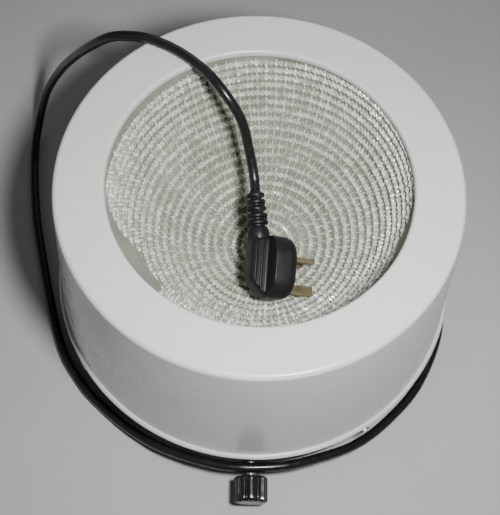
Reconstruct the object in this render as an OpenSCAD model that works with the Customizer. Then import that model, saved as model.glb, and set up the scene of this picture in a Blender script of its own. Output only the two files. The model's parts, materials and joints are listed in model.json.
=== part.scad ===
// Laboratory heating mantle for a 5-litre round-bottom flask.
// Enamelled steel housing with a rolled lower bead, knitted glass-fibre nest,
// black base tray with an energy regulator, and a mains lead with a 3-pin plug.
// Frame: bench at z = 0, bowl axis on Z, control knob at the front (-Y).

/* [Housing] */
// Overall height of the housing above the bench
total_h = 210; // [200:1:225]
// Radius of the flat top at its outer edge
top_r = 150; // [148:1:153]
// Radius of the opening for the flask
opening_r = 112.5; // [111:0.5:113.5]
// Outer radius of the rolled bead at the bottom of the housing
bead_out_r = 172.4; // [171:0.1:174]
// Height of the bead's centre above the bench
bead_z = 56; // [54:1:60]
// Diameter of the rolled bead
bead_d = 5.2; // [4:0.2:6]
// Thickness of the housing sheet
sheet_t = 1.2; // [1:0.1:1.5]

/* [Nest] */
// Inner radius of the knitted hemisphere
nest_r = 114; // [113.8:0.1:115]
// Height of the hemisphere's centre above the bench
nest_z = 203; // [201:1:204]
// Thickness of the knitted layer
knit_t = 3; // [2:0.5:3]
// Number of element rings in each of the two windings
element_rings = 7; // [4:1:8]

/* [Base tray] */
// Outer radius of the base tray
tray_r = 166.5; // [165:0.5:166.5]
// Thickness of the tray sheet
tray_t = 1.5; // [1:0.1:2]
// Height of the rubber feet
foot_h = 10; // [8:1:12]
// Diameter of the rubber feet
foot_d = 24; // [18:1:30]
// Radius of the circle on which the feet stand
foot_pcr = 135; // [120:1:140]

/* [Knob] */
// Diameter of the control knob over its ribs
knob_d = 28; // [24:1:30]
// Length of the control knob
knob_len = 21; // [16:1:24]
// Number of ribs round the knob
knob_ribs = 12; // [8:1:18]
// Height of the knob's axis above the bench
knob_z = 27; // [26:1:28]
// Distance of the knob's back face from the bowl axis
knob_back = 181.5; // [181:0.5:184]
// Angle at which the knob is drawn, 0 is off
knob_angle = 0; // [0:5:300]

/* [Mains lead] */
// Outer diameter of the mains lead
cord_d = 8; // [6:0.2:8.2]
// Width and height of the plug's pin face
plug_size = 49; // [46:1:50]
// Depth of the plug from pin face to back
plug_depth = 33.5; // [33:0.5:36]
// Distance by which the fuse carrier is drawn pulled out
carrier_out = 0; // [0:1:12]

/* [Hidden] */
$fn = 96;
small_fn = 48;

// Housing section
corner_r = 4;
lip_r = 2.5;
lip_end_z = total_h - 5;
bead_r = bead_d / 2;
bead_c = bead_out_r - bead_r;
wall_foot_r = bead_c - 0.6;
flare = atan((wall_foot_r - top_r) / (total_h - corner_r - bead_z));
corner_c = top_r - corner_r;
bend_steps = 12;

// Layers of the nest, from the knit outwards
element_r = 1;
element_mid = nest_r + knit_t + 0.3 + element_r;
backing_in = element_mid + element_r + 0.3;
backing_t = 1;
blanket_in = backing_in + backing_t + 0.3;
blanket_out = 138;
bowl_in = blanket_out + 0.3;
bowl_out = bowl_in + 1.2;
edge_z = total_h - sheet_t;
knit_top = edge_z - 1;
rim_ring_t = 2.4;
shield_top = nest_z - bowl_out - 0.3;
shield_t = 1.2;
shield_r = 158;
support_r = 40;
pillar_pcr = 100;
pillar_d = 8;

// Base tray
floor_z = foot_h;
floor_top = floor_z + tray_t;
tray_top = bead_z + 4;
tray_in = tray_r - tray_t;
screw_z = 46;
screw_azimuth = 33;
bracket_span = 6;

// Regulator, from its front face to its back
bracket_y = 150;
bracket_t = 1.5;
reg_front = bracket_y - bracket_t;
reg_w = 46;
reg_h = 29;
reg_d = 34;
reg_wall = 2;
shaft_r = 3;
fit = 0.05;
bush_r = 4.9;
bush_out = 8;
cam_y = 137;
// Places of the four push-on blades across the cover
blade_x = [-16, -6, 6, 16];

// Indicator lamp, beside the knob under the bead
lamp_azimuth = 17;

// Terminal block, its number of ways and their pitch; insulated wires
block_at = [40, 20, floor_top];
block_ways = 6;
way = 9;
wire_r = 1.3;
lamp_wire_r = 0.7;
core_sides = 8;
core_steps = 3;
lead_r = 1.5;
lead_azimuths = [-28, -14];
sheath_end_y = 140;

// Gland at the rear
gland_y = tray_r;
gland_z = 27;
gland_flange = 6.2;
gland_nut_t = 4.6;

// Plug pose: centre of the pin face, then tilts of the plug in degrees
plug_at = [24, -36.4, 127.3];
plug_yaw = 3;
plug_tilt = 15;
plug_roll = 22;
boot_x = -26;
boot_len = 36;
neck_r = 8;
neck_len = 8;
neck_gap = 1.4;
spigot_r = 6;
spigot_len = 3;
boot_lean = 9;
pin_gap = 22.2;
pin_line_y = 7.4;
pin_root = 12;
slab_depth = 20;
slab_r = 27.4;
grip_half = 9;
grip_cut = 14;
ridge_pitch = 5;
carrier_len = 9;
carrier_h = 7.6;
carrier_w = 31;
carrier_y = -4;

// Route of the mains lead from the gland to the plug's boot
CORD = [[0, 202.5, 27], [1, 214, 26], [6, 229, 21.5], [20, 242, 13.5], [44, 243, 7], [68, 231, 4.9],
    [100, 198, 4.7], [134, 153, 4.7], [171, 55, 4.7], [177, 0, 4.7], [171, -48, 4.7], [150, -94, 4.7],
    [122, -126, 8], [93, -149, 16], [62, -163, 26], [24, -173.5, 34.5], [-22, -174, 34.8],
    [-68, -161, 25], [-100, -144, 14], [-129, -122, 6.5], [-153, -98, 4.7], [-177, -57, 4.7],
    [-206, 42, 4.7], [-217, 95, 4.7], [-222, 140, 6], [-219, 168, 17], [-207, 182, 48],
    [-187, 178, 88], [-164, 161, 133], [-142, 143, 172], [-120, 130, 201], [-100, 123, 211.5],
    [-84, 117.2, 214.6], [-63, 106.5, 214.7], [-42, 89, 214.4], [-27, 72.5, 209],
    [-14.5, 60.5, 192.5], [-8, 47, 172]];
cord_tail = 12;
cord_sides = 10;
cord_steps = 2;

// ---------- helpers ----------
// Points along an arc about c, from angle a0 to a1 in n steps
function arc(c, r, a0, a1, n) =
    [for (i = [0:n]) let (a = a0 + (a1 - a0) * i / n) c + r * [cos(a), sin(a)]];
function unit(v) = v / norm(v);
// Catmull-Rom point of route p on span i at fraction t
function spline(p, i, t) =
    let (n = len(p), a = p[max(i - 1, 0)], b = p[i], c = p[min(i + 1, n - 1)], d = p[min(i + 2, n - 1)])
    0.5 * (2 * b + (c - a) * t + (2 * a - 5 * b + 4 * c - d) * t * t
        + (3 * b - a - 3 * c + d) * t * t * t);
function smooth_route(p, steps) =
    [for (i = [0:len(p) - 2], s = [0:steps - 1]) spline(p, i, s / steps), p[len(p) - 1]];
function tangent(p, i) = unit(p[min(i + 1, len(p) - 1)] - p[max(i - 1, 0)]);
// Normals carried along the route so that the tube doesn't twist
function carried(p, i, n) =
    let (t = tangent(p, i), m = unit(n - (n * t) * t))
    i >= len(p) - 1 ? [m] : concat([m], carried(p, i + 1, m));

module tube(p, r, sides, first_dir, last_dir) {
    count = len(p);
    nrm = carried(p, 0, [0, 0, 1]);
    pts = [for (i = [0:count - 1])
        let (t = i == 0 ? first_dir : i == count - 1 ? last_dir : tangent(p, i),
            u = unit(nrm[i] - (nrm[i] * t) * t), v = cross(t, u))
        for (k = [0:sides - 1]) let (a = 360 * k / sides) p[i] + r * (cos(a) * u + sin(a) * v)];
    sides_f = [for (i = [0:count - 2], k = [0:sides - 1]) let (a = i * sides + k,
        b = i * sides + (k + 1) % sides) [a, a + sides, b + sides, b]];
    ends = [[for (k = [0:sides - 1]) k], [for (k = [sides - 1:-1:0]) (count - 1) * sides + k]];
    polyhedron(pts, concat(sides_f, ends), convexity = 10);
}

// Straight round bar from a to b
module bar(a, b, r) {
    d = b - a;
    translate(a)
        rotate([0, acos(d[2] / norm(d)), atan2(d[1], d[0])])
            cylinder(h = norm(d), r = r, $fn = small_fn);
}

// Insulated wire along straight runs with round corners
module wire(p, r) {
    for (i = [0:len(p) - 2])
        bar(p[i], p[i + 1], r);
    for (i = [1:1:len(p) - 2])
        translate(p[i]) sphere(r * 1.12, $fn = small_fn);
}

// Loose insulated core along a smooth route
module core(route, r) {
    p = smooth_route(route, core_steps);
    tube(p, r, core_sides, unit(p[1] - p[0]), unit(p[len(p) - 1] - p[len(p) - 2]));
}

module ring(r_out, r_in, h) {
    difference() {
        cylinder(h = h, r = r_out);
        translate([0, 0, -1]) cylinder(h = h + 2, r = r_in);
    }
}

module shell(r_in, r_out, top) {
    translate([0, 0, nest_z])
        rotate_extrude() {
            intersection() {
                difference() {
                    circle(r_out);
                    circle(r_in);
                }
                translate([0, -r_out]) square(r_out);
            }
            translate([r_in, 0]) square([r_out - r_in, top - nest_z]);
        }
}

module quarter(n = 4, from = 0) {
    for (i = [0:n - 1])
        rotate([0, 0, from + 360 * i / n]) children();
}

// Screw along +Z with its head's underside at z = 0
module pan_screw(shank_r, head_r, head_h, len) {
    difference() {
        union() {
            cylinder(h = head_h, r = head_r, $fn = small_fn);
            translate([0, 0, -len]) cylinder(h = len, r = shank_r, $fn = small_fn);
        }
        for (a = [0, 90])
            rotate([0, 0, a])
                translate([-head_r * 0.6, -0.5, head_h * 0.5]) cube([head_r * 1.2, 1, head_h]);
    }
}

module hex_nut(af, bore_r, h) {
    difference() {
        cylinder(h = h, r = af / 2 / cos(30), $fn = 6);
        translate([0, 0, -1]) cylinder(h = h + 2, r = bore_r, $fn = small_fn);
    }
}

// Puts a child drawn along +Z so that it points outwards at the front
module facing_front(y, z) {
    translate([0, -y, z]) rotate([90, 0, 0]) children();
}

module at_plug() {
    translate(plug_at)
        rotate([0, 0, -plug_yaw]) rotate([plug_tilt, 0, 0]) rotate([0, plug_roll, 0]) children();
}

// ---------- housing ----------
module housing_shell() {
    lip_c = [opening_r + lip_r, total_h - lip_r];
    edge_c = [corner_c, total_h - corner_r];
    across = [cos(flare), sin(flare)];
    down = wall_len() * [sin(flare), -cos(flare)];
    profile = concat(
        [[opening_r, lip_end_z]],
        arc(lip_c, lip_r, 180, 90, bend_steps),
        arc(edge_c, corner_r, 90, flare, bend_steps),
        [edge_c + corner_r * across + down, edge_c + (corner_r - sheet_t) * across + down],
        arc(edge_c, corner_r - sheet_t, flare, 90, bend_steps),
        arc(lip_c, lip_r - sheet_t, 90, 180, bend_steps),
        [[opening_r + sheet_t, lip_end_z]]);
    color("whitesmoke")
        union() {
            rotate_extrude() polygon(profile);
            rotate_extrude() translate([bead_c, bead_z]) circle(bead_r, $fn = small_fn);
        }
}

function wall_len() = (total_h - corner_r - bead_z) / cos(flare);
// Radius of the wall's inner face at height z
function wall_in(z) = corner_c + (corner_r - sheet_t) / cos(flare)
    + (total_h - corner_r - z) * tan(flare);

module case_brackets() {
    hi = bead_z + 38;
    lo = bead_z + 10;
    leg = tray_in - 0.1;
    color("silver")
        quarter(4, screw_azimuth)
            difference() {
                rotate([0, 0, -90 - bracket_span / 2])
                    rotate_extrude(angle = bracket_span)
                        polygon([[wall_in(hi) - 0.1, hi], [wall_in(lo) - 0.1, lo], [leg, lo - 4],
                            [leg, screw_z - 8], [leg - 1.5, screw_z - 8], [leg - 1.5, lo - 4],
                            [wall_in(hi) - 1.5, hi]]);
                facing_front(leg - 5, screw_z) cylinder(h = 10, r = 2, $fn = small_fn);
            }
}

module rim_insulation_ring() {
    color("ivory")
        translate([0, 0, edge_z - rim_ring_t]) ring(corner_c - 1, blanket_in, rim_ring_t);
}

module base_gasket() {
    color("dimgray")
        difference() {
            translate([0, 0, bead_z - bead_r - 3.4]) ring(bead_c + 0.6, tray_r, 4.6);
            rotate_extrude() translate([bead_c, bead_z]) circle(bead_r, $fn = small_fn);
        }
}

// ---------- base ----------
module base_tray() {
    color("black")
        difference() {
            union() {
                translate([0, 0, floor_z]) cylinder(h = tray_t, r = tray_r);
                translate([0, 0, floor_z]) ring(tray_r, tray_in, tray_top - floor_z);
            }
            facing_front(tray_in - 5, knob_z) cylinder(h = 12, r = 6.5, $fn = small_fn);
            rotate([0, 0, lamp_azimuth])
                facing_front(tray_in - 5, knob_z) cylinder(h = 12, r = 5.05, $fn = small_fn);
            rotate([0, 0, 180])
                facing_front(tray_in - 5, gland_z) cylinder(h = 12, r = 8, $fn = small_fn);
            quarter(4, screw_azimuth)
                facing_front(tray_in - 5, screw_z) cylinder(h = 12, r = 2.2, $fn = small_fn);
            quarter(4, 45)
                translate([0, -foot_pcr, floor_z - 1]) cylinder(h = 4, r = 2.2, $fn = small_fn);
            quarter(4)
                translate([0, -pillar_pcr, floor_z - 1]) cylinder(h = 4, r = 2.2, $fn = small_fn);
            vents();
        }
}

// Rows of cooling slots through the tray's floor
module vents() {
    for (side = [-1, 1], i = [-3:3])
        translate([side * 60 - 20, i * 12 - 2, floor_z - 1]) {
            cube([40, 4, 4]);
            translate([0, 2, 0]) cylinder(h = 4, r = 2, $fn = small_fn);
            translate([40, 2, 0]) cylinder(h = 4, r = 2, $fn = small_fn);
        }
}

module base_screws() {
    color("silver")
        quarter(4, screw_azimuth)
            facing_front(tray_r + 3.5, screw_z) {
                pan_screw(2, 4.2, 3.2, 12);
                // spacer collar under the head
                difference() {
                    translate([0, 0, -3.2]) cylinder(h = 3.2, r = 3.4, $fn = small_fn);
                    translate([0, 0, -4]) cylinder(h = 5, r = 2, $fn = small_fn);
                }
            }
}

module rubber_feet() {
    color("#202020")
        quarter(4, 45)
            translate([0, -foot_pcr, 0])
                difference() {
                    union() {
                        cylinder(h = 2, r1 = foot_d / 2 - 1, r2 = foot_d / 2, $fn = small_fn);
                        translate([0, 0, 2]) cylinder(h = foot_h - 2, r = foot_d / 2, $fn = small_fn);
                    }
                    translate([0, 0, -1]) cylinder(h = 5, r = 5, $fn = small_fn);
                    cylinder(h = foot_h + 1, r = 2.2, $fn = small_fn);
                }
}

module foot_screws() {
    color("silver")
        quarter(4, 45)
            translate([0, -foot_pcr, 4]) mirror([0, 0, 1]) pan_screw(2, 4, 2.4, 13);
}

module foot_nuts() {
    color("silver")
        quarter(4, 45)
            translate([0, -foot_pcr, floor_top]) hex_nut(7, 2, 3.2);
}

// ---------- nest ----------
module nest_fabric() {
    color("gainsboro") shell(nest_r, nest_r + knit_t, knit_top);
}

// Rings of sleeved wire from one polar angle to another, each joined to the next
module winding(from, to) {
    gap = 4;
    function angle_of(i) = from + (to - from) * i / (element_rings - 1);
    function spot(i, turn) = let (a = angle_of(i))
        element_mid * [sin(a) * cos(turn), sin(a) * sin(turn), -cos(a)];
    translate([0, 0, nest_z])
        for (i = [0:element_rings - 1]) {
            rotate([0, 0, gap])
                rotate_extrude(angle = 360 - 2 * gap)
                    translate([element_mid * sin(angle_of(i)), -element_mid * cos(angle_of(i))])
                        circle(element_r, $fn = 24);
            if (i < element_rings - 1)
                bar(spot(i, -gap - 0.5), spot(i + 1, gap + 0.5), element_r * 0.8);
        }
}

module element_upper() {
    color("lightgray") winding(88, 52);
}

module element_lower() {
    color("lightgray") winding(46, 10);
}

module backing_cloth() {
    color("white") shell(backing_in, backing_in + backing_t, edge_z);
}

module insulation_blanket() {
    color("khaki")
        difference() {
            shell(blanket_in, blanket_out, edge_z - rim_ring_t);
            lead_holes();
        }
}

module reflector_bowl() {
    color("lightgray")
        difference() {
            union() {
                shell(bowl_in, bowl_out, edge_z - rim_ring_t);
                translate([0, 0, edge_z - rim_ring_t - 1.2]) ring(corner_c - 1, bowl_in, 1.2);
            }
            lead_holes();
        }
}

// Holes for the two leads of the windings
module lead_holes() {
    for (a = lead_azimuths)
        rotate([0, 0, a])
            translate([0, bowl_in * 0.8, 0]) cylinder(h = nest_z, r = 3, $fn = small_fn);
}

module bowl_support_ring() {
    color("silver")
        difference() {
            translate([0, 0, shield_top]) ring(support_r, support_r - 3, 9);
            translate([0, 0, nest_z]) sphere(bowl_out, $fn = 192);
        }
}

module heat_shield_plate() {
    color("silver")
        difference() {
            translate([0, 0, shield_top - shield_t]) cylinder(h = shield_t, r = shield_r);
            quarter(4)
                translate([0, -pillar_pcr, shield_top - 3]) cylinder(h = 5, r = 2.2, $fn = small_fn);
            lead_holes();
        }
}

module shield_pillars() {
    color("silver")
        quarter(4)
            translate([0, -pillar_pcr, floor_top])
                difference() {
                    cylinder(h = shield_top - shield_t - floor_top, r = pillar_d / 2, $fn = 6);
                    for (z = [-1, shield_top - shield_t - floor_top - 9])
                        translate([0, 0, z]) cylinder(h = 10, r = 2, $fn = small_fn);
                }
}

module pillar_screws() {
    color("silver")
        quarter(4)
            translate([0, -pillar_pcr, 0]) {
                translate([0, 0, shield_top]) pan_screw(2, 4, 2.4, 8);
                translate([0, 0, floor_z]) mirror([0, 0, 1]) pan_screw(2, 4, 2.4, 8);
            }
}

// ---------- energy regulator ----------
module at_regulator() {
    translate([0, -reg_front, knob_z]) children();
}

// Open-backed moulded case with its threaded bush at the front
module regulator_case() {
    color("saddlebrown")
        at_regulator()
            difference() {
                union() {
                    translate([-reg_w / 2, 0, -reg_h / 2]) cube([reg_w, reg_d, reg_h]);
                    rotate([90, 0, 0]) cylinder(h = bush_out, r = bush_r, $fn = small_fn);
                }
                translate([-reg_w / 2 + reg_wall, reg_wall, -reg_h / 2 + reg_wall])
                    cube([reg_w - 2 * reg_wall, reg_d, reg_h - 2 * reg_wall]);
                translate([0, reg_d, 0]) rotate([90, 0, 0])
                    cylinder(h = reg_d + bush_out + 1, r = shaft_r + fit, $fn = small_fn);
            }
}

module regulator_cover() {
    color("peru")
        at_regulator()
            translate([-reg_w / 2, reg_d, -reg_h / 2])
                difference() {
                    cube([reg_w, 2, reg_h]);
                    for (x = blade_x)
                        translate([reg_w / 2 + x - 3.2, -1, reg_h / 2 - 0.5]) cube([6.4, 4, 1]);
                }
}

module regulator_terminals() {
    color("silver")
        at_regulator()
            for (x = blade_x)
                translate([x - 3.15, reg_d - 4, -0.4])
                    difference() {
                        cube([6.3, 13, 0.8]);
                        translate([3.15, 10.5, -1]) cylinder(h = 3, r = 0.8, $fn = small_fn);
                    }
}

module regulator_bimetal() {
    color("darkgoldenrod")
        at_regulator() {
            translate([-16, 6, 12 - reg_wall]) cube([28, 7, 0.8]);
            translate([-19, 6, 9 - reg_wall]) cube([3, 7, 3.8]);
        }
}

module regulator_contacts() {
    color("gold")
        at_regulator() {
            translate([12, 6, 6]) cube([8, 7, 0.6]);
            translate([14, 9.5, 6.6]) cylinder(h = 3.4, r = 1.8, $fn = small_fn);
        }
}

module regulator_bracket() {
    color("silver")
        difference() {
            union() {
                translate([-25, -bracket_y, floor_top]) cube([50, bracket_t, 33]);
                translate([-25, -bracket_y - 12, floor_top]) cube([50, 12, bracket_t]);
            }
            translate([0, -bracket_y - 1, knob_z])
                rotate([-90, 0, 0]) cylinder(h = 4, r = bush_r + 0.05, $fn = small_fn);
            for (x = [-18, 18])
                translate([x, -bracket_y - 6, floor_top - 1]) cylinder(h = 4, r = 1.6, $fn = small_fn);
        }
}

module bracket_screws() {
    color("silver")
        for (x = [-18, 18])
            translate([x, -bracket_y - 6, floor_top + bracket_t]) pan_screw(1.6, 3, 2, bracket_t);
}

module bush_nut() {
    color("silver") facing_front(bracket_y, knob_z) hex_nut(14, bush_r, 3);
}

// Rubber seal in the tray's wall that keeps spills off the shaft's hole
module shaft_seal() {
    color("#202020")
        difference() {
            facing_front(tray_in - 1.5, knob_z)
                difference() {
                    union() {
                        cylinder(h = 5, r = 6.4, $fn = small_fn);
                        cylinder(h = 1.2, r = 8, $fn = small_fn);
                        translate([0, 0, 3.6]) cylinder(h = 1.4, r = 8, $fn = small_fn);
                    }
                    translate([0, 0, -1]) cylinder(h = 7, r = shaft_r + 0.5, $fn = small_fn);
                }
            difference() {
                translate([0, 0, floor_top]) ring(tray_r + 0.05, tray_in - 0.05, 30);
                facing_front(tray_in - 5, knob_z) cylinder(h = 12, r = 6.4, $fn = small_fn);
            }
        }
}

// Parts that turn are drawn about the shaft's axis, which points to the front
module turning() {
    translate([0, 0, knob_z])
        rotate([0, knob_angle, 0]) children();
}

module along_shaft(y) {
    translate([0, -y, 0]) rotate([90, 0, 0]) children();
}

module regulator_shaft() {
    front = knob_back + knob_len - 6;
    color("silver")
        turning()
            difference() {
                along_shaft(cam_y - 6) cylinder(h = front - cam_y + 6, r = shaft_r, $fn = small_fn);
                // flat for the grub screw
                translate([-shaft_r, -front - 1, shaft_r - 0.8])
                    cube([2 * shaft_r, front - knob_back - 1, 2]);
            }
}

module regulator_cam() {
    color("ivory")
        turning()
            difference() {
                union() {
                    along_shaft(cam_y) cylinder(h = 6, r = 7, $fn = small_fn);
                    translate([0, 0, -2]) along_shaft(cam_y) cylinder(h = 6, r = 7, $fn = small_fn);
                }
                along_shaft(cam_y - 1) cylinder(h = 8, r = shaft_r, $fn = small_fn);
            }
}

// ---------- knob ----------
module knob_body() {
    body_r = knob_d / 2 - 1;
    color("black")
        turning()
            difference() {
                along_shaft(knob_back)
                    difference() {
                        union() {
                            rotate_extrude(convexity = 4)
                                polygon([[0, 0], [body_r, 0], [body_r, knob_len - 1.5],
                                    [body_r - 1.5, knob_len], [0, knob_len]]);
                            for (i = [0:knob_ribs - 1])
                                rotate([0, 0, 360 * i / knob_ribs])
                                    translate([body_r - 0.8, 0, 0])
                                        cylinder(h = knob_len - 1.5, r = 1.8, $fn = small_fn);
                        }
                        translate([0, 0, knob_len - 1]) cylinder(h = 2, r = body_r - 3.5);
                        translate([0, 0, -1]) cylinder(h = knob_len - 3, r = 5, $fn = small_fn);
                    }
                // hole for the grub screw
                translate([0, -knob_back - 6, 0]) cylinder(h = knob_d, r = 1.75, $fn = small_fn);
            }
}

module knob_insert() {
    color("goldenrod")
        turning()
            difference() {
                along_shaft(knob_back) cylinder(h = knob_len - 4, r = 5, $fn = small_fn);
                along_shaft(knob_back - 1) cylinder(h = knob_len - 5, r = shaft_r, $fn = small_fn);
                translate([0, -knob_back - 6, 0]) cylinder(h = 8, r = 1.5, $fn = small_fn);
            }
}

module knob_cap() {
    cap_r = knob_d / 2 - 4.5;
    color("#303030")
        turning()
            along_shaft(knob_back + knob_len - 1)
                difference() {
                    cylinder(h = 1, r = cap_r);
                    translate([-0.6, cap_r - 5, 0.6]) cube([1.2, 5.5, 1]);
                }
}

module knob_grub_screw() {
    color("silver")
        turning()
            translate([0, -knob_back - 6, shaft_r - 0.8])
                difference() {
                    cylinder(h = 6, r = 1.5, $fn = small_fn);
                    translate([0, 0, 4.5]) cylinder(h = 2, r = 0.8, $fn = 6);
                }
}

// ---------- indicator ----------
module at_lamp(y) {
    rotate([0, 0, lamp_azimuth]) facing_front(y, knob_z) children();
}

module indicator_bezel() {
    color("black")
        at_lamp(tray_in - 14)
            difference() {
                union() {
                    cylinder(h = 16, r = 5, $fn = small_fn);
                    translate([0, 0, 15.8]) cylinder(h = 1.2, r = 6.5, $fn = small_fn);
                }
                translate([0, 0, -1]) cylinder(h = 20, r = 3.6, $fn = small_fn);
            }
}

module indicator_lens() {
    color("orangered")
        at_lamp(tray_in - 4) {
            cylinder(h = 6, r = 3.6, $fn = small_fn);
            translate([0, 0, 6])
                intersection() {
                    translate([0, 0, -4]) sphere(r = 5.4, $fn = small_fn);
                    cylinder(h = 3, r = 3.6, $fn = small_fn);
                }
        }
}

module indicator_lamp() {
    color("orange")
        at_lamp(tray_in - 13) {
            cylinder(h = 6, r = 2.4, $fn = small_fn);
            translate([0, 0, 6])
                intersection() {
                    sphere(2.4, $fn = small_fn);
                    cylinder(h = 3, r = 3, $fn = small_fn);
                }
        }
}

// ---------- wiring ----------
module terminal_block() {
    color("ivory")
        translate(block_at)
            difference() {
                for (i = [0:block_ways - 1])
                    translate([i * way, 0, 0]) {
                        cube([way, 20, 9]);
                        for (y = [5, 15])
                            translate([way / 2, y, 9]) cylinder(h = 5, r = 3.6, $fn = small_fn);
                    }
                for (i = [0:block_ways - 1])
                    translate([i * way + way / 2, 0, 0]) {
                        translate([0, -1, 5]) rotate([-90, 0, 0])
                            cylinder(h = 22, r = 1.6, $fn = small_fn);
                        for (y = [5, 15])
                            translate([0, y, 7]) cylinder(h = 8, r = 1.7, $fn = small_fn);
                    }
            }
}

module terminal_screws() {
    color("goldenrod")
        for (i = [0:block_ways - 1], y = [5, 15])
            translate(block_at + [i * way + way / 2, y, 7])
                difference() {
                    cylinder(h = 5, r = 1.7, $fn = small_fn);
                    translate([-2, -0.3, 4.2]) cube([4, 0.6, 2]);
                }
}

// Centre of way i on the front (0) or the rear (1) side of the block
function way_at(i, side) = block_at + [(i + 0.5) * way, side * 20, 5];

module element_leads() {
    exit_r = bowl_in * 0.8;
    exit_z = nest_z - sqrt(pow(blanket_in + 0.6, 2) - pow(exit_r - lead_r, 2));
    color("white")
        for (i = [0, 1]) {
            start = way_at(3 - 2 * i, 1);
            top = turn_z([0, exit_r, exit_z], lead_azimuths[i]);
            wire([start + [0, 0.2, 0], start + [0, 18, 0], [top[0], top[1], floor_top + 8], top],
                lead_r);
        }
}

module supply_wires() {
    inset = [0, 0.2, 0];
    straight = [0, 12, 0];
    start_y = sheath_end_y - fit;
    // sheathed end of the lead, through the gland to the clamp
    color("#101010")
        bar([0, sheath_end_y, gland_z], [0, CORD[0][1] - fit, gland_z], cord_d / 2 - fit);
    color("saddlebrown")
        core([[-1.6, start_y, gland_z + 0.8], [-4, 128, 25], [-12, 100, 17], [-6, 50, 15], [18, 6, 15],
            [36, -2, 16], way_at(0, 0) - straight, way_at(0, 0) - inset], wire_r);
    color("royalblue")
        core([[1.6, start_y, gland_z + 0.8], [5, 128, 29], [20, 100, 30], [30, 50, 28], [34, 20, 26],
            [48, -4, 20], way_at(2, 0) - straight, way_at(2, 0) - inset], wire_r);
    color("black")
        core([way_at(4, 0) - inset, way_at(4, 0) - straight, [60, -30, 18], [30, -75, 22],
            [16, -96, knob_z], [16, -reg_front + reg_d + 9.2, knob_z]], wire_r);
}

// Wires from the indicator to two free ways of the terminal block
module lamp_wires() {
    color("black")
        for (s = [-1, 1]) {
            way_end = way_at(4 + s, 0);
            core([turn_z([s * 1.2, -tray_in + 13.3, knob_z], lamp_azimuth),
                turn_z([s * 2, -tray_in + 28, knob_z], lamp_azimuth),
                [56 + s * 4, -80, 31], [76 + s * 7, -24, 30], way_end + [0, -24, 8],
                way_end - [0, 10, 0], way_end - [0, 0.2, 0]], lamp_wire_r);
        }
}

module thermal_fuse() {
    color("silver")
        translate([-52, 66, shield_top]) rotate([0, 90, 0])
            translate([-3, 0, 0]) {
                cylinder(h = 12, r = 2, $fn = small_fn);
                translate([0, 0, -14]) cylinder(h = 40, r = 0.6, $fn = small_fn);
            }
}

module earth_stud() {
    color("goldenrod")
        translate([-60, 100, floor_top]) cylinder(h = 14, r = 2, $fn = small_fn);
}

module earth_nut() {
    color("goldenrod")
        translate([-60, 100, floor_top + 3]) hex_nut(7, 2, 3.2);
}

module earth_wire() {
    color("yellowgreen") {
        core([[0, sheath_end_y - 0.4, gland_z - 1.7], [-0.5, 136, 25], [-8, 129, 19.5], [-24, 119, 15],
            [-42, 111, floor_top + 2], [-54, 103.9, floor_top + 1.5]], wire_r);
        translate([-60, 100, floor_top])
            difference() {
                union() {
                    cylinder(h = 3, r = 4.5, $fn = small_fn);
                    rotate([0, 0, 33]) translate([0, -1.4, 0]) cube([8.5, 2.8, 3]);
                }
                translate([0, 0, -1]) cylinder(h = 5, r = 2, $fn = small_fn);
            }
    }
}

// ---------- cord entry ----------
module at_gland(y) {
    translate([0, y, gland_z]) rotate([-90, 0, 0]) children();
}

module gland_body() {
    color("black")
        at_gland(gland_y + 0.2)
            difference() {
                union() {
                    cylinder(h = 6, r = 11, $fn = 6);
                    translate([0, 0, -12]) cylinder(h = 12, r = 7.9, $fn = small_fn);
                }
                translate([0, 0, -13]) cylinder(h = 20, r = cord_d / 2, $fn = small_fn);
            }
}

module gland_locknut() {
    color("black") at_gland(tray_in - gland_nut_t - 0.4) hex_nut(20, 7.9, gland_nut_t);
}

// Tapered and ribbed strain relief on the lead where it leaves the tray
module gland_boot() {
    color("#181818")
        at_gland(gland_y + gland_flange)
            ribbed_boot(CORD[0][1] - gland_y - gland_flange, 8.4, 5.6, 5, cord_d / 2);
}

module ribbed_boot(len, r0, r1, ribs, bore_r) {
    pitch = len / (ribs + 1);
    difference() {
        union() {
            cylinder(h = len, r1 = r0 - 1.6, r2 = r1 - 0.9, $fn = small_fn);
            cylinder(h = pitch * 0.7, r = r0, $fn = small_fn);
            for (i = [1:ribs]) {
                rib_r = r0 + (r1 - r0) * i / ribs;
                translate([0, 0, i * pitch])
                    rotate_extrude($fn = small_fn)
                        polygon([[0, 0], [rib_r - 0.5, 0], [rib_r, 0.5], [rib_r, pitch * 0.45 - 0.5],
                            [rib_r - 0.5, pitch * 0.45], [0, pitch * 0.45]]);
            }
        }
        if (bore_r > 0)
            translate([0, 0, -1]) cylinder(h = len + 2, r = bore_r, $fn = small_fn);
    }
}

module cord_clamp() {
    color("ivory")
        translate([0, 146, gland_z])
            difference() {
                translate([-15, -4, floor_top - gland_z]) cube([30, 8, gland_z - floor_top + 8]);
                translate([0, 5, 0]) rotate([90, 0, 0])
                    cylinder(h = 10, r = cord_d / 2, $fn = small_fn);
                for (x = [-10, 10])
                    translate([x, 0, -gland_z]) cylinder(h = 2 * gland_z, r = 1.6, $fn = small_fn);
            }
}

module clamp_screws() {
    color("silver")
        for (x = [-10, 10])
            translate([x, 146, gland_z + 8]) pan_screw(1.6, 3.2, 2, 14);
}

module mains_cord() {
    along = plug_dir([-sin(boot_lean), cos(boot_lean), 0]);
    tail = plug_point([boot_x, plug_size / 2, 0]) + boot_len * along;
    route = smooth_route(concat(CORD, [tail + cord_tail * along, tail]), cord_steps);
    color("#101010")
        tube(route, cord_d / 2, cord_sides, [0, 1, 0], -along);
}

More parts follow.
